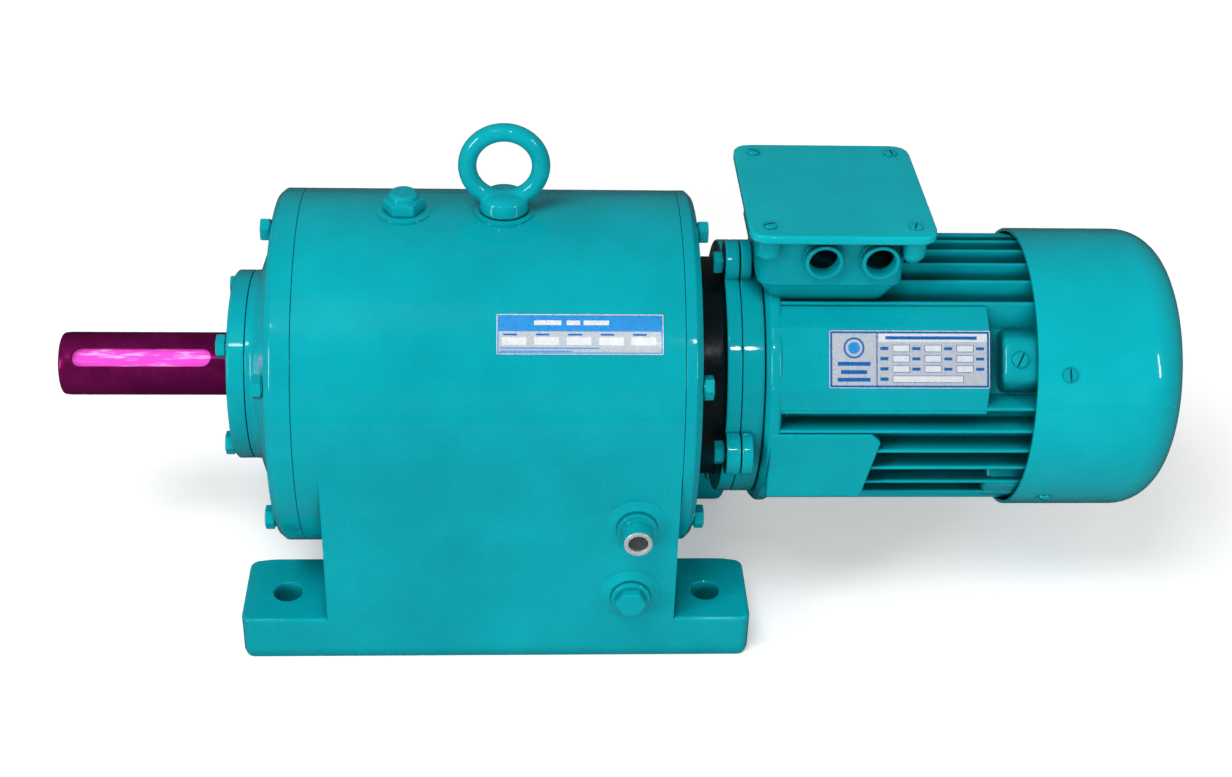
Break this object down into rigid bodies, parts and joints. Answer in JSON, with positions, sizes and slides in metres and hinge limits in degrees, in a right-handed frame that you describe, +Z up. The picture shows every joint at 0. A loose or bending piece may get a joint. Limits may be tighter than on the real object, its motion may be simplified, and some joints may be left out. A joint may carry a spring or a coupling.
{
  "type": "helical gear motor",
  "caption": "Foot-mounted inline helical gearbox with a keyed output shaft, driven by a flange-mounted fan-cooled electric motor with a terminal box.",
  "frame": {"origin": "on the ground, under the middle of the base", "axes": "+X along the shafts from the output shaft to the fan cowl, +Z up, +Y away from the side with the sight glass and the cable entries"},
  "size_m": [0.6989, 0.2428, 0.3183],
  "materials": {
    "painted_casting": "glossy teal enamel on a cast body",
    "painted_motor": "glossy teal enamel on the cast motor body",
    "painted_sheet": "glossy teal enamel on pressed sheet",
    "painted_fasteners": "teal enamel sprayed over the fasteners",
    "shaft_lacquer": "clear magenta rust-protection lacquer on turned steel",
    "machined_steel": "machined and ground",
    "bearing_steel": "ground and polished",
    "seal_rubber": "matte black nitrile",
    "laminated_steel": "stacked sheets",
    "fan_plastic": "moulded",
    "board_plastic": "moulded",
    "sight_glass_body": "plated",
    "sight_glass_window": "polished"
  },
  "bodies": {
    "housing": {"bearing_cap_bolt_1": "painted_fasteners", "bearing_cap_bolt_2": "painted_fasteners", "bearing_cap_bolt_3": "painted_fasteners", "bearing_cap_bolt_4": "painted_fasteners", "breather_plug": "painted_fasteners", "drain_plug": "painted_fasteners", "eye_bolt": "painted_fasteners", "fan_cowl": "painted_sheet", "front_cover": "painted_casting", "front_cover_bolt_1": "painted_fasteners", "front_cover_bolt_2": "painted_fasteners", "front_cover_bolt_3": "painted_fasteners", "front_cover_bolt_4": "painted_fasteners", "front_cover_bolt_5": "painted_fasteners", "front_cover_bolt_6": "painted_fasteners", "front_endshield": "painted_motor", "gear_housing": "painted_casting", "input_oil_seal": "seal_rubber", "layshaft_front_bearing_outer_ring": "bearing_steel", "layshaft_rear_bearing_outer_ring": "bearing_steel", "motor_adapter": "painted_motor", "motor_flange_bolt_1": "painted_fasteners", "motor_flange_bolt_2": "painted_fasteners", "motor_flange_bolt_3": "painted_fasteners", "motor_flange_bolt_4": "painted_fasteners", "motor_frame": "painted_motor", "oil_sight_glass": "sight_glass_body", "output_bearing_cap": "painted_casting", "output_front_bearing_outer_ring": "bearing_steel", "output_oil_seal": "seal_rubber", "output_rear_bearing_outer_ring": "bearing_steel", "rear_cover": "painted_casting", "rear_cover_bolt_1": "painted_fasteners", "rear_cover_bolt_2": "painted_fasteners", "rear_cover_bolt_3": "painted_fasteners", "rear_cover_bolt_4": "painted_fasteners", "rear_cover_bolt_5": "painted_fasteners", "rear_cover_bolt_6": "painted_fasteners", "rear_endshield": "painted_motor", "rotor_front_bearing_outer_ring": "bearing_steel", "rotor_rear_bearing_outer_ring": "bearing_steel", "sight_glass_window": "sight_glass_window", "stator": "laminated_steel", "terminal_board": "board_plastic", "terminal_box": "painted_motor", "terminal_box_lid": "painted_motor"},
    "output": {"output_shaft": "shaft_lacquer", "output_wheel": "machined_steel", "output_wheel_key": "machined_steel", "output_front_bearing_inner_ring": "bearing_steel", "output_rear_bearing_inner_ring": "bearing_steel"},
    "layshaft": {"layshaft": "machined_steel", "layshaft_wheel": "machined_steel", "layshaft_front_bearing_inner_ring": "bearing_steel", "layshaft_rear_bearing_inner_ring": "bearing_steel"},
    "rotor": {"rotor_shaft": "machined_steel", "rotor_core": "laminated_steel", "fan": "fan_plastic", "rotor_front_bearing_inner_ring": "bearing_steel", "rotor_rear_bearing_inner_ring": "bearing_steel"}
  },
  "joints": [
    {"name": "output_spin", "type": "hinge", "parent": "housing", "child": "output", "pos_m": [-0.13, 0, 0.148], "axis": [1, 0, 0], "continuous": true},
    {"name": "layshaft_spin", "type": "hinge", "parent": "housing", "child": "layshaft", "pos_m": [0, 0, 0.078], "axis": [1, 0, 0], "continuous": true},
    {"name": "rotor_spin", "type": "hinge", "parent": "housing", "child": "rotor", "pos_m": [0.25, 0, 0.148], "axis": [1, 0, 0], "continuous": true}
  ],
  "couplings": [
    {"joint": "layshaft_spin", "follows": "output_spin", "ratio": -3},
    {"joint": "rotor_spin", "follows": "output_spin", "ratio": 9.3529}
  ]
}
